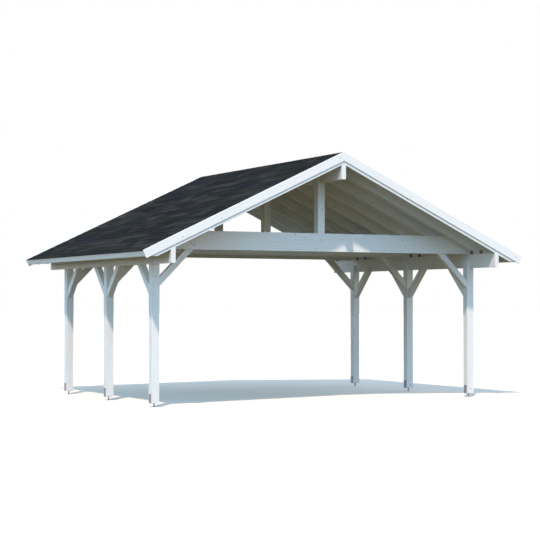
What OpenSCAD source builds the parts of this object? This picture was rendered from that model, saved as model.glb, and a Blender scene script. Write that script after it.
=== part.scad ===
// Open timber carport for two cars: six posts, lapped side beams, tie beams with
// king posts, a ridge beam, birdsmouthed rafters and a shingled gable roof.
// The front gable faces -Y, X runs across the drive and Z = 0 is the ground.

/* [Plan] */
// Distance between the post centres across the drive
post_span = 5480; // [4000:10:6500]
// Distance between the post centres along the drive
post_bay = 1805; // [1500:5:2600]
// How far the side and ridge beams run on past the end posts
beam_overhang = 690; // [400:5:900]
// How far the roof runs on past the side beams, measured level
eave_overhang = 433; // [260:1:600]

/* [Heights] */
// Underside of the posts above the ground
foot_height = 60; // [40:1:120]
// Underside of the side beams above the ground
beam_clearance = 2070; // [1900:10:2800]
// Slope of the roof in degrees
roof_pitch = 25.15; // [18:0.05:35]

/* [Posts and beams] */
// Width of the square posts and king posts
post_width = 120; // [100:1:160]
// Height of the cheek that laps a post over the beam it carries
post_lap = 120; // [60:1:180]
// Thickness of the side beams and the ridge beam
beam_width = 70; // [50:1:85]
// Height of the side beams and the ridge beam
beam_height = 220; // [180:1:280]
// Thickness of the tie beams
tie_width = 120; // [80:1:160]
// Height of the tie beams
tie_height = 280; // [200:1:320]
// Bevel planed on the long edges of the timbers
edge_bevel = 3; // [1:0.5:6]

/* [Braces] */
// Width of the square braces
brace_width = 90; // [70:1:100]
// Reach of a tie brace's lower edge, along the post and along the tie beam
tie_brace_leg = 545; // [400:5:700]
// The same for a side brace, with its lap on the side beam
side_brace_leg = 565; // [400:5:700]
// How far a brace laps up the inner face of a side beam
brace_lap = 90; // [40:1:150]

/* [Rafters] */
// Thickness of the rafters
rafter_width = 45; // [35:1:70]
// Height of the rafters
rafter_height = 145; // [110:1:180]
// How much shallower the gable rafters are than the others
gable_rafter_trim = 5; // [0:1:15]
// Rafters in each bay between posts
rafters_per_bay = 3; // [2:1:3]
// How far a rafter is let down over the inner edge of a side beam
side_notch = 4; // [2:0.5:12]
// How far a rafter is let down over the edge of the ridge beam
ridge_notch = 18; // [5:1:40]

/* [Roof skin] */
// Thickness of the roof boards
deck_thickness = 19; // [16:1:28]
// Thickness of the shingles where two courses lap
shingle_thickness = 6; // [4:0.5:8]
// Depth of a shingle course that is left showing
course_depth = 142; // [100:1:200]
// How far the shingles run over the eave board
shingle_drip = 10; // [4:1:25]
// Reach of the ridge strip down each slope
ridge_strip = 150; // [80:5:250]
// Thickness of the barge boards and the eave boards
trim_thickness = 16; // [12:1:28]
// Width of the barge boards
barge_width = 125; // [100:1:140]
// How far the barge boards stand above the shingles
barge_stand = 4; // [3:0.5:8]
// Width of the eave boards
eave_board_width = 86; // [60:1:120]

/* [Steel] */
// Plate thickness of the post anchors
anchor_plate = 5; // [3:0.5:8]
// Width of the post anchors' straps
anchor_width = 70; // [50:1:90]
// Height of the straps beside the post
anchor_strap = 130; // [80:1:200]
// Diameter of the anchors' rods
anchor_rod = 22; // [16:1:30]
// Leg length of the angle brackets
bracket_leg = 60; // [40:1:70]
// Width of the angle brackets
bracket_width = 55; // [40:1:65]
// Plate thickness of the angle brackets
bracket_plate = 2.5; // [1.5:0.5:4]

/* [Hidden] */
$fn = 32;

left = -1;
right = 1;
front = -1;
middle = 0;
back = 1;

timber_paint = [0.87, 0.89, 0.90];
deck_paint = [0.80, 0.82, 0.81];
shingle_grey = [0.20, 0.21, 0.23];
zinc = [0.62, 0.64, 0.66];

// Play left at the sides of a cut joint, and the overrun of a cut past its stock
joint_gap = 0.5;
cut = 20;

// Plan lines, measured from the middle of the carport
post_in = post_span / 2 - post_width / 2;
beam_out = post_span / 2 + post_width / 2;
beam_in = beam_out - beam_width;
beam_end = post_bay + post_width / 2 + beam_overhang;
eave_x = beam_out + eave_overhang;

// Levels above the ground
beam_top = beam_clearance + beam_height;
tie_top = beam_top + tie_height;
brace_top = beam_clearance + brace_lap;

// Layers of the roof, as depths measured square to the slope from the barge
// boards' top edge
deck_depth = barge_stand + shingle_thickness;
rafter_depth = deck_depth + deck_thickness;
underside_depth = rafter_depth + rafter_height;
apex_z = beam_top - side_notch + beam_in * tan(roof_pitch) + underside_depth / cos(roof_pitch);
eave_z = roof_z(eave_x, 0);
slope_length = eave_x / cos(roof_pitch);
ridge_top = roof_z(beam_width / 2, underside_depth) + ridge_notch;
ridge_bottom = ridge_top - beam_height;
tail_z = eave_z - (deck_depth + eave_board_width) * cos(roof_pitch) + trim_thickness * sin(roof_pitch);

// Rafters stand half a space to each side of every frame
rafter_space = post_bay / rafters_per_bay;
rafter_room = beam_end - 2 * rafter_width - 2 * bracket_leg;
rafters_each_way = floor(rafter_room / rafter_space + 0.5);
rafter_ys = [for (k = [0 : rafters_each_way - 1], way = [-1, 1]) way * (k + 0.5) * rafter_space];

// Height of a roof layer at a distance from the ridge line
function roof_z(x, depth) = apex_z - x * tan(roof_pitch) - depth / cos(roof_pitch);

// Section of a planed timber, centred on its width and standing on its lower edge
module planed_section(width, height) {
    side = width / 2;
    b = edge_bevel;
    polygon([
        [-side + b, 0], [side - b, 0], [side, b], [side, height - b],
        [side - b, height], [-side + b, height], [-side, height - b], [-side, b]
    ]);
}

// Planed timber lying along +X
module timber(length, width, height) {
    rotate([90, 0, 90]) linear_extrude(length) planed_section(width, height);
}

// Planed timber lying along Y, centred on the origin
module timber_along_y(length, width, height) {
    translate([0, -length / 2, 0]) rotate([0, 0, 90]) timber(length, width, height);
}

// What is drawn for the right-hand side, placed on either side
module to_side(side) {
    if (side < 0) mirror([1, 0, 0]) children();
    else children();
}

// What is drawn facing the back, placed towards either gable
module to_end(end) {
    if (end < 0) mirror([0, 1, 0]) children();
    else children();
}

// The right-hand slope: +X runs down it from the eave line and Z is square to it
module on_slope() {
    translate([eave_x, 0, eave_z]) rotate([0, roof_pitch, 0]) children();
}

// A board or layer of the right-hand slope from the ridge to the eave line, cut
// plumb at the ridge; end is how far it stops short of the eave line
module slope_layer(depth, thickness, end, y_from, y_to) {
    difference() {
        on_slope() translate([-slope_length, y_from, -depth - thickness])
            cube([slope_length - end, y_to - y_from, thickness]);
        ridge_plumb_cut(y_from, y_to);
    }
}

// Everything beyond the ridge line, with half of the joint's play
module ridge_plumb_cut(y_from, y_to) {
    reach = 2 * underside_depth;
    translate([joint_gap / 2 - reach, y_from - cut, apex_z - 2 * reach])
        cube([reach, y_to - y_from + 2 * cut, 3 * reach]);
}

// Post with its top lapped over the inner face of the side beam
module post(side, row) {
    color(timber_paint) to_side(side) translate([post_span / 2, row * post_bay, 0])
        difference() {
            translate([0, -post_width / 2, foot_height])
                linear_extrude(beam_clearance + post_lap - foot_height)
                    planed_section(post_width, post_width);
            translate([post_width / 2 - beam_width - joint_gap, -post_width, beam_clearance])
                cube([beam_width + cut, 2 * post_width, post_lap + cut]);
        }
}

// U-shaped anchor: a bent strap that grips the post, on a round rod
module anchor(side, row) {
    color(zinc) to_side(side) translate([post_span / 2, row * post_bay, 0]) {
        rotate([90, 0, 0]) translate([0, 0, -anchor_width / 2])
            linear_extrude(anchor_width) anchor_strap_outline();
        cylinder(d = anchor_rod, h = foot_height - anchor_plate / 2);
    }
}

// Strap bent round the foot of the post, with a rounded outside corner
module anchor_strap_outline() {
    half = post_width / 2;
    outer = half + anchor_plate;
    floor_z = foot_height - anchor_plate;
    difference() {
        union() {
            translate([-outer, foot_height]) square([2 * outer, anchor_strap]);
            translate([-half, floor_z]) square([post_width, anchor_plate]);
            for (x = [-half, half]) translate([x, foot_height]) circle(anchor_plate);
        }
        translate([-half, foot_height]) square([post_width, anchor_strap + cut]);
    }
}

// Side beam, flush with the outer faces of the posts
module side_beam(side) {
    color(timber_paint) to_side(side)
        translate([beam_out - beam_width / 2, 0, beam_clearance])
            timber_along_y(2 * beam_end, beam_width, beam_height);
}

module ridge_beam() {
    color(timber_paint) translate([0, 0, ridge_bottom])
        timber_along_y(2 * beam_end, beam_width, beam_height);
}

// Glued tie beam on the side beams, its top corners cut to clear the roof boards
module tie_beam(row) {
    color(timber_paint) translate([0, row * post_bay, 0]) difference() {
        translate([-beam_out, 0, beam_top]) timber(2 * beam_out, tie_width, tie_height);
        for (side = [left, right]) to_side(side) on_slope()
            translate([-slope_length, -tie_width, -rafter_depth - joint_gap])
                cube([slope_length + cut, 2 * tie_width, tie_height + underside_depth]);
    }
}

// King post from the tie beam to the ridge beam, slotted to hold the beam
module king_post(row) {
    color(timber_paint) translate([0, row * post_bay, 0]) difference() {
        translate([0, -post_width / 2, tie_top])
            linear_extrude(ridge_bottom + post_lap - tie_top)
                planed_section(post_width, post_width);
        translate([-beam_width / 2 - joint_gap, -post_width, ridge_bottom])
            cube([beam_width + 2 * joint_gap, 2 * post_width, post_lap + cut]);
    }
}

// Brace at 45 degrees in the XZ plane: plumb against a post at X = 0 and level
// under a beam at Z = 0
module brace(leg) {
    intersection() {
        translate([0, 0, -leg]) rotate([0, -45, 0]) translate([-brace_width, 0, 0])
            timber(2 * (leg + brace_width), brace_width, brace_width);
        translate([0, -brace_width, -leg]) cube([leg, 2 * brace_width, leg]);
    }
}

// Brace along the side beam, notched so that its inner part laps the beam
module side_brace() {
    difference() {
        translate([post_span / 2, post_width / 2, brace_top]) rotate([0, 0, 90])
            brace(side_brace_leg);
        translate([beam_in - joint_gap, 0, beam_clearance])
            cube([beam_width + cut, side_brace_leg + post_width, brace_lap + cut]);
    }
}

// The braces of one post: one to the tie beam, and one along the side beam
// towards each neighbouring post
module braces(side, row) {
    color(timber_paint) to_side(side) translate([0, row * post_bay, 0]) {
        translate([post_in, 0, beam_top]) mirror([1, 0, 0]) brace(tie_brace_leg);
        if (row < back) side_brace();
        if (row > front) to_end(front) side_brace();
    }
}

// Rafter of the right-hand slope at Y = 0: plumb at the ridge, notched over the
// ridge beam, birdsmouthed over the side beam and cut level under its tail
module rafter(height) {
    wide = 2 * rafter_width;
    difference() {
        on_slope() translate([-slope_length, 0, -rafter_depth - height])
            timber(slope_length - trim_thickness, rafter_width, height);
        ridge_plumb_cut(-rafter_width, rafter_width);
        translate([-cut, -rafter_width, ridge_bottom])
            cube([beam_width / 2 + joint_gap + cut, wide, beam_height]);
        translate([beam_in - joint_gap, -rafter_width, beam_clearance])
            cube([beam_width + 2 * joint_gap, wide, beam_height]);
        translate([beam_out, -rafter_width, tail_z - underside_depth])
            cube([eave_overhang, wide, underside_depth]);
    }
}

module rafters(side) {
    color(timber_paint) to_side(side)
        for (y = rafter_ys) translate([0, y, 0]) rafter(rafter_height);
}

// Shallower pair of rafters, flush with the ends of the beams
module gable_rafters(end) {
    color(timber_paint) to_end(end) translate([0, beam_end - rafter_width / 2, 0])
        for (side = [left, right]) to_side(side) rafter(rafter_height - gable_rafter_trim);
}

// Bent steel angle in a corner: one leg along +Y, one up, centred on X
module angle_bracket() {
    bend = 2 * bracket_plate;
    rotate([90, 0, 90]) translate([0, 0, -bracket_width / 2]) linear_extrude(bracket_width) {
        translate([bend, 0]) square([bracket_leg - bend, bracket_plate]);
        translate([0, bend]) square([bracket_plate, bracket_leg - bend]);
        translate([bend, bend]) intersection() {
            difference() {
                circle(bend);
                circle(bend - bracket_plate);
            }
            translate([-bend, -bend]) square(bend);
        }
    }
}

// Brackets on top of a side beam, on both faces of every rafter and tie beam
// and behind the gable rafters
module rafter_brackets(side) {
    color(zinc) to_side(side) translate([beam_out - beam_width / 2, 0, beam_top]) {
        for (y = rafter_ys, end = [front, back]) translate([0, y, 0]) to_end(end)
            translate([0, rafter_width / 2, 0]) angle_bracket();
        for (row = [front, middle, back], end = [front, back])
            translate([0, row * post_bay, 0]) to_end(end)
                translate([0, tie_width / 2, 0]) angle_bracket();
        for (end = [front, back]) to_end(end)
            translate([0, beam_end - rafter_width, 0]) to_end(front) angle_bracket();
    }
}

// Boarded deck under the shingles
module roof_deck(side) {
    color(deck_paint) to_side(side)
        slope_layer(deck_depth, deck_thickness, trim_thickness, -beam_end, beam_end);
}

// Shingles in lapped courses: each course is thick at its lower edge
module shingles(side) {
    thin = shingle_thickness / 2;
    courses = ceil((slope_length + shingle_drip) / course_depth);
    steps = [
        for (k = [0 : courses - 1], up = [0, 1])
            [shingle_drip - (k + up) * course_depth, -deck_depth + (up == 0 ? 2 : 1) * thin]
    ];
    color(shingle_grey) to_side(side) difference() {
        on_slope() translate([0, beam_end, 0]) rotate([90, 0, 0]) linear_extrude(2 * beam_end)
            polygon(concat(steps, [
                [shingle_drip - courses * course_depth, -deck_depth],
                [shingle_drip, -deck_depth]
            ]));
        ridge_plumb_cut(-beam_end, beam_end);
    }
}

// Folded strip of the covering over the ridge
module ridge_strip_cap() {
    thin = shingle_thickness / 2;
    color(shingle_grey) for (side = [left, right]) to_side(side)
        intersection() {
            on_slope() translate([-slope_length, -beam_end, -barge_stand])
                cube([ridge_strip, 2 * beam_end, thin]);
            translate([0, -beam_end, eave_z]) cube([eave_x, 2 * beam_end, apex_z]);
        }
}

// Barge board over the ends of the boards and shingles, mitred at the ridge
module barge_board(side, end) {
    color(timber_paint) to_side(side) to_end(end) difference() {
        on_slope() translate([-slope_length, beam_end + trim_thickness / 2, -barge_width])
            timber(slope_length, trim_thickness, barge_width);
        ridge_plumb_cut(beam_end, beam_end + trim_thickness);
    }
}

// Eave board across the rafter tails
module eave_board(side) {
    color(timber_paint) to_side(side) on_slope()
        translate([-trim_thickness / 2, 0, -deck_depth - eave_board_width])
            timber_along_y(2 * beam_end, trim_thickness, eave_board_width);
}

post(left, front);  // post_front_left
post(right, front);  // post_front_right
post(left, middle);  // post_middle_left
post(right, middle);  // post_middle_right
post(left, back);  // post_back_left
post(right, back);  // post_back_right
anchor(left, front);  // anchor_front_left
anchor(right, front);  // anchor_front_right
anchor(left, middle);  // anchor_middle_left
anchor(right, middle);  // anchor_middle_right
anchor(left, back);  // anchor_back_left
anchor(right, back);  // anchor_back_right
side_beam(left);  // side_beam_left
side_beam(right);  // side_beam_right
ridge_beam();
tie_beam(front);  // tie_beam_front
tie_beam(middle);  // tie_beam_middle
tie_beam(back);  // tie_beam_back
king_post(front);  // king_post_front
king_post(middle);  // king_post_middle
king_post(back);  // king_post_back
braces(left, front);  // braces_front_left
braces(right, front);  // braces_front_right
braces(left, middle);  // braces_middle_left
braces(right, middle);  // braces_middle_right
braces(left, back);  // braces_back_left
braces(right, back);  // braces_back_right
rafters(left);  // rafters_left
rafters(right);  // rafters_right
gable_rafters(front);  // gable_rafters_front
gable_rafters(back);  // gable_rafters_back
rafter_brackets(left);  // rafter_brackets_left
rafter_brackets(right);  // rafter_brackets_right
roof_deck(left);  // roof_deck_left
roof_deck(right);  // roof_deck_right
shingles(left);  // shingles_left
shingles(right);  // shingles_right
ridge_strip_cap();
barge_board(left, front);  // barge_board_front_left
barge_board(right, front);  // barge_board_front_right
barge_board(left, back);  // barge_board_back_left
barge_board(right, back);  // barge_board_back_right
eave_board(left);  // eave_board_left
eave_board(right);  // eave_board_right
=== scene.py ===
# Looks for the open timber carport: glazed timber, boarded roof, shingles, galvanised steel
import math
import random

import bmesh
import bpy
import numpy as np
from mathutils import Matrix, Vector


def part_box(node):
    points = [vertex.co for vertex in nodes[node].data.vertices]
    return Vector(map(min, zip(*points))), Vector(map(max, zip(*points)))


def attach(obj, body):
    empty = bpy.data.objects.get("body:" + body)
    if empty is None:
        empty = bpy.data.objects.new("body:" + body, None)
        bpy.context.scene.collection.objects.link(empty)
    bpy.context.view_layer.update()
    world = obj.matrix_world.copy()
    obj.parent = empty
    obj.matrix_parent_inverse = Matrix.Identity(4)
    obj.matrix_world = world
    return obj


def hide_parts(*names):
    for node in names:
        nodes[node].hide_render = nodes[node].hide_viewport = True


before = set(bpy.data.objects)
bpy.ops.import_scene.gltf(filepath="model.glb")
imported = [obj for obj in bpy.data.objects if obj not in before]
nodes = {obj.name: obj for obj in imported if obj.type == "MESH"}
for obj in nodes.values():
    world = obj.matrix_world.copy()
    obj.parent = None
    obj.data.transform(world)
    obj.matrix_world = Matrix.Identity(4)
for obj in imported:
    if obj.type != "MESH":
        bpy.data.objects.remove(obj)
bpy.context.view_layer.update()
rows = ("front", "middle", "back")
sides = ("left", "right")
print("frame loaded:", len(nodes), "nodes")


def toLinear(hexColour):
    # sRGB hex to the linear values that shaders take
    channels = [int(hexColour[i:i + 2], 16) / 255 for i in (0, 2, 4)]
    linear = [c / 12.92 if c <= 0.04045 else ((c + 0.055) / 1.055) ** 2.4 for c in channels]
    return (*linear, 1.0)


def perMetre(sizes):
    # how many marks of a pattern go to the metre, from their sizes in millimetres
    return tuple(1000 / size for size in sizes)


def addNode(tree, kind, settings=None):
    # one shader node with its settings, by socket or property; another node's output is linked
    node = tree.nodes.new(kind)
    for name, value in (settings or {}).items():
        if isinstance(value, bpy.types.NodeSocket):
            tree.links.new(value, node.inputs[name])
        elif isinstance(name, int) or name in node.inputs:
            node.inputs[name].default_value = value
        else:
            setattr(node, name, value)
    return node


def newMaterial(name):
    material = bpy.data.materials.new(name)
    material.use_nodes = True
    tree = material.node_tree
    return material, tree, tree.nodes["Principled BSDF"]


def newPiece(name, verts, faces, material):
    # closed mesh on the frame, with its finish
    mesh = bpy.data.meshes.new(name)
    mesh.from_pydata([tuple(v) for v in verts], [], faces)
    mesh.materials.append(material)
    work = bmesh.new()
    work.from_mesh(mesh)
    bmesh.ops.recalc_face_normals(work, faces=work.faces)
    work.to_mesh(mesh)
    work.free()
    piece = bpy.data.objects.new(name, mesh)
    bpy.context.scene.collection.objects.link(piece)
    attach(piece, "root")
    return piece


def addPrism(verts, faces, ends):
    # closed solid between two outlines with as many corners each
    first = len(verts)
    count = len(ends[0])
    for outline in ends:
        verts.extend(outline)
    for k in range(count):
        after = (k + 1) % count
        faces.append((first + k, first + after, first + count + after, first + count + k))
    faces.append(tuple(first + k for k in reversed(range(count))))
    faces.append(tuple(first + count + k for k in range(count)))


def addHead(verts, faces, place, axis, profile, sideCount):
    # turned shape on an axis, from (radius, height) pairs in millimetres
    axis = Vector(axis).normalized()
    across = axis.orthogonal().normalized()
    other = axis.cross(across)
    first = len(verts)
    for radius, height in profile:
        for k in range(sideCount):
            turn = 2 * math.pi * k / sideCount
            reach = (across * math.cos(turn) + other * math.sin(turn)) * (radius / 1000)
            verts.append(Vector(place) + reach + axis * (height / 1000))
    for ring in range(len(profile) - 1):
        for k in range(sideCount):
            a = first + ring * sideCount + k
            b = first + ring * sideCount + (k + 1) % sideCount
            faces.append((a, b, b + sideCount, a + sideCount))
    faces.append(tuple(first + k for k in reversed(range(sideCount))))
    last = first + (len(profile) - 1) * sideCount
    faces.append(tuple(last + k for k in range(sideCount)))


def islandsOf(mesh):
    # the corner points of a mesh, and the numbers of those of each separate solid in it;
    # corners within a hundredth of a millimetre are the same
    co = np.empty(len(mesh.vertices) * 3)
    mesh.vertices.foreach_get("co", co)
    co = co.reshape(-1, 3)
    _, same = np.unique(np.round(co * 1e5).astype(np.int64), axis=0, return_inverse=True)
    same = same.ravel()
    parent = list(range(same.max() + 1))

    def root(a):
        while parent[a] != a:
            parent[a] = parent[parent[a]]
            a = parent[a]
        return a

    for polygon in mesh.polygons:
        first = root(same[polygon.vertices[0]])
        for v in polygon.vertices[1:]:
            parent[root(same[v])] = first
    owner = np.array([root(s) for s in same])
    return co, [np.nonzero(owner == k)[0] for k in np.unique(owner)]


def readSlope(side):
    # a roof slope's frame and reach, from its deck
    mesh = nodes["roof_deck_" + side].data
    top = max((p for p in mesh.polygons if p.normal.z > 0.5), key=lambda p: p.area)
    normal = Vector((top.normal.x, 0, top.normal.z)).normalized()
    down = Vector((normal.z, 0, -normal.x)) * (1 if normal.x > 0 else -1)
    corners = [v.co for v in mesh.vertices]
    level = max(normal.dot(c) for c in corners)
    ridge = Vector((0, 0, level / normal.z))
    return {
        "ridge": ridge, "down": down, "normal": normal, "tan": abs(normal.x) / normal.z,
        "reach": max(down.dot(c - ridge) for c in corners),
        "thick": level - min(normal.dot(c) for c in corners),
        "front": min(c.y for c in corners), "back": max(c.y for c in corners),
    }


slopes = {side: readSlope(side) for side in sides}
ridgeGap = 0.00025    # kept free on each side of the ridge line


def onSlope(slope, s, h, y):
    # s runs down the slope, h stands above its boards; nothing crosses the ridge line
    s = max(s, (ridgeGap / slope["normal"].z) - h * slope["tan"])
    return slope["ridge"] + slope["down"] * s + slope["normal"] * h + Vector((0, y, 0))


def reachOf(slope, nodeName):
    # how far down the slope a node reaches
    return max(slope["down"].dot(v.co - slope["ridge"]) for v in nodes[nodeName].data.vertices)


grain = {
    "seed": 31,
    "pithSide": 0.06, "pithDepth": (0.03, 0.10),     # where the log's middle lies beside and under a timber
    "logs": 30.0,        # metres of log that the timbers are cut from
}
grainDraw = random.Random(grain["seed"])


def timberAxes(points):
    # along is the frame direction nearest to the timber's length
    down = np.array(slopes["right"]["down"])
    half = math.sqrt(0.5)
    choices = [
        ((1, 0, 0), (0, 1, 0)), ((0, 1, 0), (1, 0, 0)), ((0, 0, 1), (1, 0, 0)),
        (down, (0, 1, 0)), (down * (1, 1, -1), (0, 1, 0)),
        ((half, 0, half), (0, 1, 0)), ((half, 0, -half), (0, 1, 0)),
        ((0, half, half), (1, 0, 0)), ((0, half, -half), (1, 0, 0)),
    ]
    longest = np.linalg.svd(points - points.mean(0), full_matrices=False)[2][0]
    along, across = max(choices, key=lambda c: abs(np.dot(longest, c[0])))
    along, across = np.array(along, float), np.array(across, float)
    return along, across, np.cross(along, across)


def layGrain(piece):
    # each timber's place in its log, for the grain of the finishes
    co, islands = islandsOf(piece.data)
    place = np.zeros((len(co), 3))
    for members in islands:
        points = co[members]
        along, across, up = timberAxes(points)
        side = grainDraw.uniform(-1, 1) * grain["pithSide"]
        depth = grainDraw.uniform(*grain["pithDepth"])
        middle = points.mean(0)
        place[members, 0] = (points - middle) @ along + grainDraw.uniform(0, grain["logs"])
        place[members, 1] = (points - middle) @ across + side
        place[members, 2] = points @ up - (points @ up).min() + depth
    attribute = piece.data.attributes.new("grain", "FLOAT_VECTOR", "POINT")
    attribute.data.foreach_set("vector", place.ravel())


timber = {
    "glaze": "eff2f3",       # thin white glaze
    "wood": "d2cec2",        # spruce that shows through it
    "knot": "85817b", "knotRim": "66625d", "check": "8b8d8e", "glueLine": "8b8d8e",
    "show": 0.42,            # how much of the wood the glaze lets through
    "leastShow": 0.35,       # what is added to that where the glaze is thick too
    "lateWood": (0.45, 1.0), "lateShare": 0.35,      # the dark span of each ring, and its strength
    "streakSpan": (0.35, 0.75),
    # sizes in mm
    "ring": 5.0, "streak": 11.0, "relief": 0.8,
    "bendDepth": 70.0,                 # how far the log bends
    "knotRadius": (3.0, 11.0),         # of the knots drawn at random
    # sizes in mm along the timber and across it
    "bend": (1110, 1670, 1670),        # from one slow bend of the log to the next
    "patch": (910, 227, 227),          # where the glaze is thinner or thicker
    "knotSpace": (620, 130, 130),      # timber to each knot
    "dryingCheck": (1430, 4.8, 4.8),
    "roughness": (0.65, 0.80),
}
alongGrain = (0.015, 1.0, 1.0)     # how little the grain changes along the timber
knotLength = (0.7, 1.0, 1.0)       # knots are longer than wide
layerShift = (17.0, 0.11, 0.07)    # how far apart in the log glued layers may come from, in metres
# how strongly each mark tints the timber, and how high it stands
marks = {"knot": (0.8, 0.0), "knotRim": (0.6, -0.5), "check": (0.6, -1.5), "glueLine": (0.17, -0.6)}


def glazedTimber(name, finish, knots=(), mirrored=False, layers=None):
    # planed spruce under a thin white glaze: a soft dull white, with faint long grain lines
    # and small grey knots; layers gives the lowest edge and the height of glued layers, and
    # mirrored sets each knot on every timber of a row, right and left
    material, tree, surface = newMaterial(name)
    place = addNode(tree, "ShaderNodeAttribute", {"attribute_name": "grain"}).outputs["Vector"]
    position = addNode(tree, "ShaderNodeTexCoord").outputs["Object"]
    masks = {}
    if layers:  # each layer is cut from another part of the log
        height = addNode(tree, "ShaderNodeSeparateXYZ", {0: position}).outputs["Z"]
        inLayers = addNode(tree, "ShaderNodeMapRange", {
            "clamp": False, "Value": height, 1: layers[0], 2: layers[0] + layers[1]}).outputs[0]
        layer = addNode(tree, "ShaderNodeMath", {"operation": "FLOOR", 0: inLayers}).outputs[0]
        drawn = addNode(tree, "ShaderNodeTexWhiteNoise", {
            "noise_dimensions": "1D", "W": layer}).outputs["Color"]
        place = addNode(tree, "ShaderNodeVectorMath", {
            "operation": "MULTIPLY_ADD", 0: drawn, 1: layerShift, 2: place}).outputs[0]
        toLine = addNode(tree, "ShaderNodeMath", {"operation": "PINGPONG", 0: inLayers, 1: 0.5}).outputs[0]
        masks["glueLine"] = addNode(tree, "ShaderNodeMapRange", {    # in shares of a layer's height
            "interpolation_type": "SMOOTHSTEP", "Value": toLine,
            1: 0.012, 2: 0.035, 3: 1.0, 4: 0.0}).outputs[0]

    # the log's slow bends turn straight rings into long arches
    bendDepth = finish["bendDepth"] / 1000
    bendPlace = addNode(tree, "ShaderNodeVectorMath", {
        "operation": "MULTIPLY", 0: place, 1: perMetre(finish["bend"])}).outputs[0]
    bends = addNode(tree, "ShaderNodeTexNoise", {
        "Scale": 1.0, "Detail": 1.0, "Vector": bendPlace}).outputs["Color"]
    bent = addNode(tree, "ShaderNodeVectorMath", {
        "operation": "MULTIPLY_ADD", 0: bends, 1: (0.0, bendDepth, bendDepth), 2: place}).outputs[0]
    drawnOut = addNode(tree, "ShaderNodeVectorMath", {
        "operation": "MULTIPLY", 0: bent, 1: alongGrain}).outputs[0]
    rings = addNode(tree, "ShaderNodeTexWave", {
        "wave_type": "RINGS", "rings_direction": "X", "wave_profile": "SAW",
        "Scale": 2 * math.pi / 20 * 1000 / finish["ring"],     # a ring is a twentieth of a turn
        "Distortion": 4.0, "Detail": 2.0, "Detail Scale": 0.4, "Vector": drawnOut}).outputs["Fac"]
    streaks = addNode(tree, "ShaderNodeTexNoise", {
        "Scale": 1000 / finish["streak"], "Detail": 4.0, "Roughness": 0.62,
        "Vector": drawnOut}).outputs["Fac"]
    patchPlace = addNode(tree, "ShaderNodeVectorMath", {
        "operation": "MULTIPLY", 0: place, 1: perMetre(finish["patch"])}).outputs[0]
    patches = addNode(tree, "ShaderNodeTexNoise", {
        "Scale": 1.0, "Detail": 3.0, "Vector": patchPlace}).outputs["Fac"]

    # the wood shows in its late rings and streaks, where the glaze is thin
    (lateFrom, lateTo), (streakFrom, streakTo) = finish["lateWood"], finish["streakSpan"]
    lateWood = addNode(tree, "ShaderNodeMapRange", {
        "interpolation_type": "SMOOTHSTEP", "Value": rings,
        1: lateFrom, 2: lateTo, 4: finish["lateShare"]}).outputs[0]
    darkStreaks = addNode(tree, "ShaderNodeMapRange", {
        "interpolation_type": "SMOOTHSTEP", "Value": streaks, 1: streakFrom, 2: streakTo}).outputs[0]
    wood = addNode(tree, "ShaderNodeMath", {"operation": "ADD", 0: lateWood, 1: darkStreaks}).outputs[0]
    thin = addNode(tree, "ShaderNodeMath", {
        "operation": "MULTIPLY_ADD", 0: patches,
        1: finish["show"], 2: finish["leastShow"] * finish["show"]}).outputs[0]
    share = addNode(tree, "ShaderNodeMath", {
        "operation": "MULTIPLY", "use_clamp": True, 0: wood, 1: thin}).outputs[0]
    colour = addNode(tree, "ShaderNodeMix", {
        "data_type": "RGBA", 0: share, 6: toLinear(finish["glaze"]), 7: toLinear(finish["wood"])}).outputs[2]

    # knots: the nearest of those drawn at random and those set by place, in knot radii
    space = [size / 1000 for size in finish["knotSpace"]]
    reach = [size * squeeze for size, squeeze in zip(space, knotLength)]
    smallest, largest = [size / 1000 for size in finish["knotRadius"]]
    cellPlace = addNode(tree, "ShaderNodeVectorMath", {"operation": "DIVIDE", 0: place, 1: space}).outputs[0]
    cells = addNode(tree, "ShaderNodeTexVoronoi", {"Scale": 1.0, "Randomness": 0.9, "Vector": cellPlace})
    apart = addNode(tree, "ShaderNodeVectorMath", {
        "operation": "SUBTRACT", 0: cellPlace, 1: cells.outputs["Position"]}).outputs[0]
    apart = addNode(tree, "ShaderNodeVectorMath", {"operation": "MULTIPLY", 0: apart, 1: reach}).outputs[0]
    away = addNode(tree, "ShaderNodeVectorMath", {"operation": "LENGTH", 0: apart}).outputs["Value"]
    drawn = addNode(tree, "ShaderNodeSeparateColor", {0: cells.outputs["Color"]}).outputs[0]
    radius = addNode(tree, "ShaderNodeMapRange", {"Value": drawn, 3: smallest, 4: largest}).outputs[0]
    nearest = addNode(tree, "ShaderNodeMath", {"operation": "DIVIDE", 0: away, 1: radius}).outputs[0]
    if mirrored:
        position = addNode(tree, "ShaderNodeVectorMath", {"operation": "ABSOLUTE", 0: position}).outputs[0]
        position = addNode(tree, "ShaderNodeVectorMath", {
            "operation": "MULTIPLY", 0: position, 1: (1.0, 0.0, 1.0)}).outputs[0]
    for x, y, z, size in knots:
        away = addNode(tree, "ShaderNodeVectorMath", {
            "operation": "DISTANCE", 0: position, 1: (x, y, z)}).outputs["Value"]
        away = addNode(tree, "ShaderNodeMath", {"operation": "MULTIPLY", 0: away, 1: 1000 / size}).outputs[0]
        nearest = addNode(tree, "ShaderNodeMath", {"operation": "MINIMUM", 0: nearest, 1: away}).outputs[0]
    masks["knot"] = addNode(tree, "ShaderNodeMapRange", {
        "interpolation_type": "SMOOTHSTEP", "Value": nearest, 1: 0.75, 2: 1.05, 3: 1.0, 4: 0.0}).outputs[0]
    outer = addNode(tree, "ShaderNodeMapRange", {
        "interpolation_type": "SMOOTHSTEP", "Value": nearest, 1: 0.55, 2: 0.85}).outputs[0]
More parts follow.
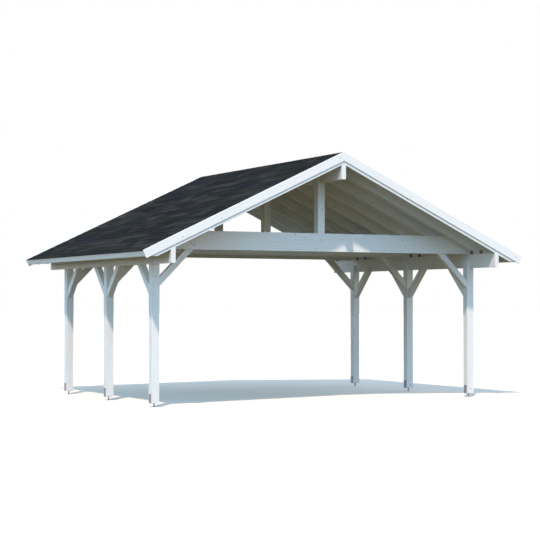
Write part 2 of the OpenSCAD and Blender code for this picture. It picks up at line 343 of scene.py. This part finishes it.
    masks["knotRim"] = addNode(tree, "ShaderNodeMath", {
        "operation": "MULTIPLY", 0: masks["knot"], 1: outer}).outputs[0]

    # drying checks: a few fine dark lines along the timber, in places only
    checkPlace = addNode(tree, "ShaderNodeVectorMath", {
        "operation": "MULTIPLY", 0: bent, 1: perMetre(finish["dryingCheck"])}).outputs[0]
    lines = addNode(tree, "ShaderNodeTexNoise", {
        "Scale": 1.0, "Detail": 0.0, "Vector": checkPlace}).outputs["Fac"]
    fine = addNode(tree, "ShaderNodeMapRange", {
        "interpolation_type": "SMOOTHSTEP", "Value": lines, 1: 0.80, 2: 0.84}).outputs[0]
    where = addNode(tree, "ShaderNodeMapRange", {
        "interpolation_type": "SMOOTHSTEP", "Value": patches, 1: 0.5, 2: 0.6}).outputs[0]
    masks["check"] = addNode(tree, "ShaderNodeMath", {"operation": "MULTIPLY", 0: fine, 1: where}).outputs[0]

    # streaks and rings stand up a little, and the marks tint the timber and sink into it
    relief = addNode(tree, "ShaderNodeMath", {"operation": "MULTIPLY", 0: streaks, 1: 0.5}).outputs[0]
    relief = addNode(tree, "ShaderNodeMath", {
        "operation": "MULTIPLY_ADD", 0: rings, 1: 0.2, 2: relief}).outputs[0]
    for mark in [m for m in marks if m in masks]:
        tint, lift = marks[mark]
        share = addNode(tree, "ShaderNodeMath", {"operation": "MULTIPLY", 0: masks[mark], 1: tint}).outputs[0]
        colour = addNode(tree, "ShaderNodeMix", {
            "data_type": "RGBA", 0: share, 6: colour, 7: toLinear(finish[mark])}).outputs[2]
        relief = addNode(tree, "ShaderNodeMath", {
            "operation": "MULTIPLY_ADD", 0: masks[mark], 1: lift, 2: relief}).outputs[0]
    bump = addNode(tree, "ShaderNodeBump", {
        "Strength": 0.35, "Distance": finish["relief"] / 1000, "Height": relief})
    rough = addNode(tree, "ShaderNodeMapRange", {
        "Value": streaks, 3: finish["roughness"][0], 4: finish["roughness"][1]})
    tree.links.new(colour, surface.inputs["Base Color"])
    tree.links.new(rough.outputs[0], surface.inputs["Roughness"])
    tree.links.new(bump.outputs[0], surface.inputs["Normal"])
    surface.inputs["IOR"].default_value = 1.47
    surface.inputs["Specular IOR Level"].default_value = 0.05    # dull, so barely any sheen
    return material


# the larger knots: the node whose front face they are in, then metres across and up and the radius in mm
knotPlaces = {
    "barge_board_front_left": [(-2.63, 2.44, 9), (-2.02, 2.71, 9), (-0.07, 3.66, 10)],
    "barge_board_front_right": [(3.13, 2.23, 10), (1.16, 3.12, 7), (1.45, 3.00, 6)],
    "tie_beam_front": [(-2.135, 2.355, 11), (-0.36, 2.52, 6), (-0.29, 2.495, 8), (-0.005, 2.47, 9),
                       (-0.10, 2.335, 8), (0.55, 2.32, 9), (0.605, 2.495, 5), (0.875, 2.33, 8),
                       (1.135, 2.515, 7), (1.07, 2.50, 6), (1.46, 2.49, 8), (1.515, 2.38, 6)],
    "post_front_left": [(-2.75, 1.895, 9)],
    "post_front_right": [(2.74, 0.13, 10)],
    "post_middle_right": [(2.745, 0.11, 10)],
    "king_post_front": [(0.03, 2.945, 7)],
}
rafterKnot = (1.11, 0.0, 3.091, 10)    # on every rafter, right and left


def knotsOf(start):
    # on the front faces of the nodes whose names begin so
    return [(x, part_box(name)[0].y, z, size) for name, places in knotPlaces.items()
            if name.startswith(start) for x, z, size in places]


tieLow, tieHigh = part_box("tie_beam_front")
layerCount = 7     # glued layers of each tie beam
finishes = {
    "post": glazedTimber("glazedSprucePosts", timber, knotsOf("post") + knotsOf("king")),
    # the rafters get a darker, bluer copy of the white glaze: painted shade for their place under the roof
    "rafter": glazedTimber("glazedSpruceRaftersPaintedShade", {**timber, "glaze": "e6edf1"}, [rafterKnot],
                           mirrored=True),
    "trim": glazedTimber("glazedSpruceTrim", {**timber, "show": 0.28}, knotsOf("barge")),
    "tie": glazedTimber("glazedGluedSpruce", {**timber, "show": 0.32, "knotSpace": (500, 160, 160)},
                        knotsOf("tie"), layers=(tieLow.z, (tieHigh.z - tieLow.z) / layerCount)),
    # the boards get a bluer copy of the white glaze, tuned to their undersides in the shade under the roof:
    # painted shade colour
    "boards": glazedTimber("glazedTonguedBoardsPaintedShade", {**timber, "glaze": "eff2fa", "show": 0.44}),
}
print("timber finishes ready")


steel = {
    "zinc": "a5a6af", "dull": "898a94",
    "spangle": 12.0,         # mm across the zinc's crystals
    "stain": 40.0,           # mm across the duller places
    "relief": 0.3,           # mm
    "flakes": 0.55,          # how much the crystals differ
    "roughness": (0.42, 0.60),
}


def galvanisedSteel(name, finish):
    # hot-dip galvanised steel, cooled in air: dull grey with faint flaky crystals
    material, tree, surface = newMaterial(name)
    position = addNode(tree, "ShaderNodeTexCoord").outputs["Object"]
    crystals = addNode(tree, "ShaderNodeTexVoronoi", {
        "Scale": 1000 / finish["spangle"], "Vector": position}).outputs["Color"]
    stains = addNode(tree, "ShaderNodeTexNoise", {
        "Scale": 1000 / finish["stain"], "Detail": 4.0, "Vector": position}).outputs["Fac"]
    flake = addNode(tree, "ShaderNodeSeparateColor", {0: crystals}).outputs[0]
    share = addNode(tree, "ShaderNodeMath", {
        "operation": "MULTIPLY_ADD", "use_clamp": True, 0: flake, 1: finish["flakes"], 2: stains}).outputs[0]
    colour = addNode(tree, "ShaderNodeMix", {
        "data_type": "RGBA", 0: share, 6: toLinear(finish["zinc"]), 7: toLinear(finish["dull"])})
    rough = addNode(tree, "ShaderNodeMapRange", {
        "Value": flake, 3: finish["roughness"][0], 4: finish["roughness"][1]})
    bump = addNode(tree, "ShaderNodeBump", {
        "Strength": 0.2, "Distance": finish["relief"] / 1000, "Height": stains})
    tree.links.new(colour.outputs[2], surface.inputs["Base Color"])
    tree.links.new(rough.outputs[0], surface.inputs["Roughness"])
    tree.links.new(bump.outputs[0], surface.inputs["Normal"])
    surface.inputs["Metallic"].default_value = 1.0
    return material


zincSteel = galvanisedSteel("galvanisedSteel", steel)
print("steel ready")


families = {
    "post_": "post", "king_post": "post", "side_beam": "post", "ridge_beam": "post", "braces": "post",
    "tie_beam": "tie", "rafters": "rafter", "gable_rafters": "rafter", "barge": "trim", "eave": "trim",
}
for name, piece in nodes.items():  # what is in no family is steel, or is replaced further on
    family = next((f for start, f in families.items() if name.startswith(start)), None)
    if family:
        layGrain(piece)
    for slot in piece.material_slots:
        slot.material = finishes[family] if family else zincSteel
print("grain laid")


boards = {
    "cover": 0.121,      # width that each board covers
    "groove": 0.004,     # depth of the bevels that make the V joint
}


def boardSlope(side):
    # boards from gable to gable, side by side from the ridge down
    slope = slopes[side]
    count = round(slope["reach"] / boards["cover"])
    cover = slope["reach"] / count
    groove = boards["groove"]
    low = -slope["thick"]
    verts, faces = [], []
    for k in range(count):
        s0, s1 = k * cover, (k + 1) * cover
        outline = [(s0, 0), (s1, 0), (s1, low + groove),
                   (s1 - groove, low), (s0 + groove, low), (s0, low + groove)]
        if k == 0:  # plumb at the ridge
            outline = [(0, 0), (s1, 0), (s1, low + groove), (s1 - groove, low), (0, low)]
        ends = [[onSlope(slope, s, h, y) for s, h in outline] for y in (slope["front"], slope["back"])]
        addPrism(verts, faces, ends)
    piece = newPiece("roof_boards_" + side, verts, faces, finishes["boards"])
    layGrain(piece)
    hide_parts("roof_deck_" + side)
    return piece


for side in sides:
    boardSlope(side)
print("roof boards laid")


shingle = {
    "seed": 7,
    "course": 0.142,     # depth of a course that shows
    "tab": 0.333,        # width of a tab
    "slot": 0.007,       # width of the cut between two tabs
    "thick": 0.003,
    "stray": 0.003,      # how far a tab's edge strays from its line
    "shift": 0.02,       # how far a course may lie to one side
    "dark": "0a0b0d", "light": "393c3e", "blue": "151528", "green": "16231d",
    "granule": 3.0,      # mm, coarser than the real 1 mm so that it shows
    "batch": (256, 870, 256),      # mm of a bluish or greenish batch, across the roof, along it and up
    "batchLift": 0.16,   # how much lighter or darker a batch is
    "tint": 0.6,         # how blue or green at most
    "speckle": 0.3,      # how much lighter a granule may be
    "relief": 1.0,       # mm
    "tone": (0.09, 0.75),    # of the darkest tab, and from that to the lightest
    "shadedBacking": 0.7,      # tone of the backing layer in the slots, as a share of the tab's: painted shade in the slots
}
shingleDraw = random.Random(shingle["seed"])


def bitumenShingle(name, finish):
    # bitumen felt with crushed slate pressed into it: nearly black, rough, each tab a little
    # lighter or darker, with bluish and greenish batches running along the courses
    material, tree, surface = newMaterial(name)
    position = addNode(tree, "ShaderNodeTexCoord").outputs["Object"]
    tone = addNode(tree, "ShaderNodeAttribute", {"attribute_name": "tabTone"}).outputs["Fac"]
    batchPlace = addNode(tree, "ShaderNodeVectorMath", {
        "operation": "MULTIPLY", 0: position, 1: perMetre(finish["batch"])}).outputs[0]
    batches = addNode(tree, "ShaderNodeTexNoise", {
        "Scale": 1.0, "Detail": 3.0, "Vector": batchPlace}).outputs["Color"]
    lighter, bluer, greener = addNode(tree, "ShaderNodeSeparateColor", {0: batches}).outputs
    granules = addNode(tree, "ShaderNodeTexVoronoi", {"Scale": 1000 / finish["granule"], "Vector": position})
    speckle = addNode(tree, "ShaderNodeSeparateColor", {0: granules.outputs["Color"]}).outputs[0]
    level = addNode(tree, "ShaderNodeMath", {
        "operation": "MULTIPLY_ADD", 0: speckle, 1: finish["speckle"], 2: tone}).outputs[0]
    lift = addNode(tree, "ShaderNodeMapRange", {
        "Value": lighter, 1: 0.35, 2: 0.65, 3: -finish["batchLift"], 4: finish["batchLift"]}).outputs[0]
    level = addNode(tree, "ShaderNodeMath", {
        "operation": "ADD", "use_clamp": True, 0: level, 1: lift}).outputs[0]
    colour = addNode(tree, "ShaderNodeMix", {
        "data_type": "RGBA", 0: level, 6: toLinear(finish["dark"]), 7: toLinear(finish["light"])}).outputs[2]
    for tint, share in (("blue", bluer), ("green", greener)):
        share = addNode(tree, "ShaderNodeMapRange", {
            "interpolation_type": "SMOOTHSTEP", "Value": share,
            1: 0.42, 2: 0.62, 4: finish["tint"]}).outputs[0]
        colour = addNode(tree, "ShaderNodeMix", {
            "data_type": "RGBA", 0: share, 6: colour, 7: toLinear(finish[tint])}).outputs[2]
    bump = addNode(tree, "ShaderNodeBump", {
        "Strength": 0.5, "Distance": finish["relief"] / 1000, "Height": granules.outputs["Distance"]})
    tree.links.new(colour, surface.inputs["Base Color"])
    tree.links.new(bump.outputs[0], surface.inputs["Normal"])
    surface.inputs["Roughness"].default_value = 0.95
    surface.inputs["Specular IOR Level"].default_value = 0.03
    return material


felt = bitumenShingle("granulatedBitumenShingle", shingle)


def setTones(piece, tones):
    # one value per vertex
    attribute = piece.data.attributes.new("tabTone", "FLOAT", "POINT")
    attribute.data.foreach_set("value", tones)


def shingleSlope(side):
    # courses from the eave up, each a backing layer with tabs on it; the backing is drawn darker than its
    # tabs as painted shade
    slope = slopes[side]
    lowest = reachOf(slope, "shingles_" + side)
    thick, half = shingle["thick"], shingle["slot"] / 2
    front, back = slope["front"], slope["back"]
    darkest, toneSpan = shingle["tone"]
    verts, faces, tones = [], [], []
    for k in range(math.ceil(lowest / shingle["course"])):
        low, high = lowest - k * shingle["course"], lowest - (k + 1) * shingle["course"]
        shadedBacking = [(low, 0), (low, thick), (high, 0)]
        addPrism(verts, faces, [[onSlope(slope, s, h, y) for s, h in shadedBacking] for y in (front, back)])
        edge = front - shingle["tab"] * (0.5 if k % 2 else 0) - shingleDraw.uniform(0, shingle["shift"])
        while edge < back:
            y0, y1 = max(front, edge + half), min(back, edge + shingle["tab"] - half)
            stray = shingleDraw.uniform(0, shingle["stray"]) if k else 0
            tone = darkest + toneSpan * shingleDraw.betavariate(2, 3)
            if y1 > y0:
                # the backing layer takes the tab's tone made darker: painted shade in the slots between the
                # tabs
                tones.extend([tone * shingle["shadedBacking"]] * (len(verts) - len(tones)))
                outline = [(low - stray, thick), (low - stray, 2 * thick), (high, thick), (high, 0)]
                addPrism(verts, faces, [[onSlope(slope, s, h, y) for s, h in outline] for y in (y0, y1)])
                tones.extend([tone] * (len(verts) - len(tones)))
            edge += shingle["tab"]
    piece = newPiece("shingle_courses_" + side, verts, faces, felt)
    setTones(piece, tones)
    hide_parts("shingles_" + side)
    return piece


ridgeTabs = {
    "reach": 0.150,      # down each side
    "show": 0.142,       # length of a tab that shows
    "thick": 0.0013,
    "rise": 0.0014,      # of a tab's front over the one that it laps
}


def ridgeCap():
    # tabs folded over the ridge, each lapping the one behind it
    verts, faces, tones = [], [], []
    base = 2 * shingle["thick"]
    front, back = slopes["left"]["front"], slopes["left"]["back"]
    count = math.ceil((back - front) / ridgeTabs["show"])
    for k in range(count):
        y0, y1 = front + k * ridgeTabs["show"], min(back, front + (k + 1) * ridgeTabs["show"])
        tone = shingleDraw.betavariate(2, 3)
        for side in sides:
            ends = []
            for y, lift in ((y0, ridgeTabs["rise"]), (y1, 0.0)):
                low, high = base + lift, base + lift + ridgeTabs["thick"]
                outline = [(ridgeTabs["reach"], low), (ridgeTabs["reach"], high), (-1, high), (-1, low)]
                ends.append([onSlope(slopes[side], s, h, y) for s, h in outline])
            addPrism(verts, faces, ends)
        tones.extend([tone] * (len(verts) - len(tones)))
    piece = newPiece("ridge_tabs", verts, faces, felt)
    setTones(piece, tones)
    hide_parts("ridge_strip_cap")
    return piece


for side in sides:
    shingleSlope(side)
ridgeCap()
print("shingles laid")


# turned shapes of the fasteners: radius and height in mm, from the timber outwards
heads = {
    "washer": [(11, 0), (11, 1.6), (6, 1.8)],
    "hexagon": [(8.0, 1.4), (8.0, 5.9), (7.2, 6.6), (4.4, 6.6)],
    "nail": [(3.2, -0.2), (3.1, 0.5), (1.9, 1.1), (0.6, 1.3)],
    "pan": [(4.6, -0.2), (4.5, 0.5), (4.0, 0.7), (2.3, 0.7), (2.2, 0.1)],
    "sunk": [(4.9, -0.2), (4.8, 0.02), (3.8, 0.08)],       # countersunk, and painted over
    "weld": [(16, -0.1), (14, 1.5), (11.2, 5.5)],
}
anchorScrew = {"heights": (0.038, 0.098), "stagger": 0.014, "plate": 0.005}


def anchorScrews():
    # two hexagon screws with washers through each strap of the post anchors, and the rods' welds
    verts, faces = [], []
    for row in rows:
        for side in sides:
            low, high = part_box(f"anchor_{row}_{side}")
            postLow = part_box(f"post_{row}_{side}")[0].z
            middle = (low + high) / 2
            for x, out in ((low.x, -1), (high.x, 1)):
                for turn, height in zip((-1, 1), anchorScrew["heights"]):
                    place = (x, middle.y + turn * out * anchorScrew["stagger"], postLow + height)
                    addHead(verts, faces, place, (out, 0, 0), heads["washer"], 20)
                    addHead(verts, faces, place, (out, 0, 0), heads["hexagon"], 6)
            under = (middle.x, middle.y, postLow - anchorScrew["plate"])
            addHead(verts, faces, under, (0, 0, -1), heads["weld"], 24)
    return newPiece("anchor_screws", verts, faces, zincSteel)


bracketNail = {"across": (-0.014, 0.014), "along": (0.022, 0.046)}     # places on each leg


def bracketNails(side):
    # four ring nails through each leg of every angle bracket
    verts, faces = [], []
    co, islands = islandsOf(nodes["rafter_brackets_" + side].data)
    for members in islands:
        points = co[members]
        low, high = points.min(0), points.max(0)
        middle = (low + high) / 2
        upright = points[points[:, 2] > high[2] - 0.001, 1]    # the top edge of the leg on the rafter
        out = 1 if upright.mean() < middle[1] else -1
        corner = low[1] if out > 0 else high[1]
        plate = np.ptp(upright)
        for x in (middle[0] + across for across in bracketNail["across"]):
            for along in bracketNail["along"]:
                onRafter = (x, corner + out * plate, low[2] + along)
                onBeam = (x, corner + out * along, low[2] + plate)
                addHead(verts, faces, onRafter, (0, out, 0), heads["nail"], 10)
                addHead(verts, faces, onBeam, (0, 0, 1), heads["nail"], 10)
    return newPiece("bracket_nails_" + side, verts, faces, zincSteel)


trimScrew = {
    "first": 0.16, "space": 0.62, "last": 0.10,      # down the slope: from the ridge, apart, from the eave
    "heights": (-0.045, -0.095), "eaveHeights": (-0.035, -0.065),
}


def trimScrews():
    # pairs of sunk screws along the barge boards, and pan heads at each rafter tail on the eave boards
    verts, faces = [], []
    for side in sides:
        slope = slopes[side]
        for end, out in (("front", -1), ("back", 1)):
            low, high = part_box(f"barge_board_{end}_{side}")
            y = low.y if out < 0 else high.y
            s = trimScrew["first"]
            while s < slope["reach"] - trimScrew["last"]:
                for h in trimScrew["heights"]:
                    addHead(verts, faces, onSlope(slope, s, h, y), (0, out, 0), heads["sunk"], 12)
                s += trimScrew["space"]
        face = reachOf(slope, "eave_board_" + side)
        co, islands = islandsOf(nodes["rafters_" + side].data)
        for members in islands:
            y = co[members, 1].mean()
            for h in trimScrew["eaveHeights"]:
                addHead(verts, faces, onSlope(slope, face, h, y), slope["down"], heads["pan"], 12)
    return newPiece("trim_screws", verts, faces, finishes["trim"])


anchorScrews()
for side in sides:
    bracketNails(side)
layGrain(trimScrews())
print("fasteners set")


stage = {
    "floor": "f6f1e8",
    "paving": "5f573a",      # what the floor throws back on the timber
    "floorSize": 400.0,      # metres
}
light = {
    "sun": 3.2, "sunColour": "ffe5d5",
    "sunWay": (0.765, 1.0, -1.63), "sunSize": 2.0,       # the way it shines, and its width in degrees
    # on each side the colour and strength of the haze low down, then of the clear sky above it
    "sides": {
        (0, -1, 0): (("d4edff", 1.27), ("9ad6ff", 1.92)),
        (1, 0, 0): (("fff4e2", 1.99), ("e6edff", 2.34)),
        (0, 1, 0): (("ecf4ff", 0.9), ("9ad6ff", 0.6)),
        (-1, 0, 0): (("dfefff", 2.29), ("96d7ff", 1.75)),
    },
    "hazeTo": 0.65, "skyFrom": (0.1, 0.45),      # sines of the heights where they end and begin
    "zenith": ("cde5ff", 0.33),
}
camera = {
    "place": (-11.476, -22.467, 1.494),
    "turn": 27.211, "tilt": 1.255,       # degrees to the right of straight ahead, and up
    "lens": 102.91,                      # mm
}


def seenDirectly(tree):
    # 1 for what the camera sees, straight or by a mirror or glass
    path = addNode(tree, "ShaderNodeLightPath").outputs
    shared = addNode(tree, "ShaderNodeMath", {
        "operation": "MAXIMUM", 0: path["Is Camera Ray"], 1: path["Is Glossy Ray"]}).outputs[0]
    return addNode(tree, "ShaderNodeMath", {
        "operation": "MAXIMUM", 0: shared, 1: path["Is Transmission Ray"]}).outputs[0]


def layFloor():
    # pale matt floor; its own light on the timber is that of brown paving
    material, tree, surface = newMaterial("paleFloor")
    tree.nodes.remove(surface)
    pale = addNode(tree, "ShaderNodeBsdfDiffuse", {"Color": toLinear(stage["floor"])})
    brown = addNode(tree, "ShaderNodeBsdfDiffuse", {"Color": toLinear(stage["paving"])})
    mixed = addNode(tree, "ShaderNodeMixShader", {
        0: seenDirectly(tree), 1: brown.outputs[0], 2: pale.outputs[0]})
    tree.links.new(mixed.outputs[0], tree.nodes["Material Output"].inputs["Surface"])
    half = stage["floorSize"] / 2
    mesh = bpy.data.meshes.new("floor")
    corners = [(-half, -half, 0), (half, -half, 0), (half, half, 0), (-half, half, 0)]
    mesh.from_pydata(corners, [], [(0, 1, 2, 3)])
    mesh.materials.append(material)
    floor = bpy.data.objects.new("floor", mesh)
    bpy.context.scene.collection.objects.link(floor)


def setSky():
    # plain white where it is seen; what it throws on the timber is haze and clear sky
    world = bpy.data.worlds.new("sky")
    bpy.context.scene.world = world
    world.use_nodes = True
    tree = world.node_tree
    tree.nodes.remove(tree.nodes["Background"])
    way = addNode(tree, "ShaderNodeTexCoord").outputs["Generated"]
    height = addNode(tree, "ShaderNodeSeparateXYZ", {0: way}).outputs["Z"]
    lowDown = addNode(tree, "ShaderNodeMapRange", {
        "Value": height, 1: 0.0, 2: light["hazeTo"], 3: 1.0, 4: 0.0}).outputs[0]
    highUp = addNode(tree, "ShaderNodeMapRange", {
        "Value": height, 1: light["skyFrom"][0], 2: light["skyFrom"][1]}).outputs[0]
    parts = [((0, 0, 1), light["zenith"], 1.0)]
    for side, (haze, clear) in light["sides"].items():
        parts += [(side, haze, lowDown), (side, clear, highUp)]
    sky = None
    for side, (colour, strength), band in parts:  # each falls off away from its side
        toward = addNode(tree, "ShaderNodeVectorMath", {
            "operation": "DOT_PRODUCT", 0: way, 1: side}).outputs["Value"]
        toward = addNode(tree, "ShaderNodeMath", {"operation": "MAXIMUM", 0: toward, 1: 0.0}).outputs[0]
        toward = addNode(tree, "ShaderNodeMath", {
            "operation": "MULTIPLY", 0: toward, 1: toward}).outputs[0]
        inBand = addNode(tree, "ShaderNodeMath", {
            "operation": "MULTIPLY", 0: toward, 1: band}).outputs[0]
        level = addNode(tree, "ShaderNodeMath", {
            "operation": "MULTIPLY", 0: inBand, 1: strength}).outputs[0]
        part = addNode(tree, "ShaderNodeBackground", {
            "Color": toLinear(colour), "Strength": level}).outputs[0]
        sky = addNode(tree, "ShaderNodeAddShader", {0: sky, 1: part}).outputs[0] if sky else part
    plain = addNode(tree, "ShaderNodeBackground", {"Color": (1, 1, 1, 1), "Strength": 1.0}).outputs[0]
    mixed = addNode(tree, "ShaderNodeMixShader", {0: seenDirectly(tree), 1: sky, 2: plain})
    tree.links.new(mixed.outputs[0], tree.nodes["World Output"].inputs["Surface"])


def setSun():
    lamp = bpy.data.lights.new("sun", "SUN")
    lamp.energy = light["sun"]
    lamp.color = toLinear(light["sunColour"])[:3]
    lamp.angle = math.radians(light["sunSize"])
    sun = bpy.data.objects.new("sun", lamp)
    sun.rotation_euler = Vector(light["sunWay"]).to_track_quat("-Z", "Y").to_euler()
    bpy.context.scene.collection.objects.link(sun)


def setCamera():
    data = bpy.data.cameras.new("camera")
    data.lens = camera["lens"]
    data.clip_end = 1000     # metres, past the floor's far edge
    view = bpy.data.objects.new("camera", data)
    view.location = camera["place"]
    view.rotation_euler = (math.radians(90 + camera["tilt"]), 0, -math.radians(camera["turn"]))
    bpy.context.scene.collection.objects.link(view)
    bpy.context.scene.camera = view


layFloor()
setSky()
setSun()
setCamera()
bpy.context.scene.view_settings.view_transform = "Standard"
print("floor, light and camera set")
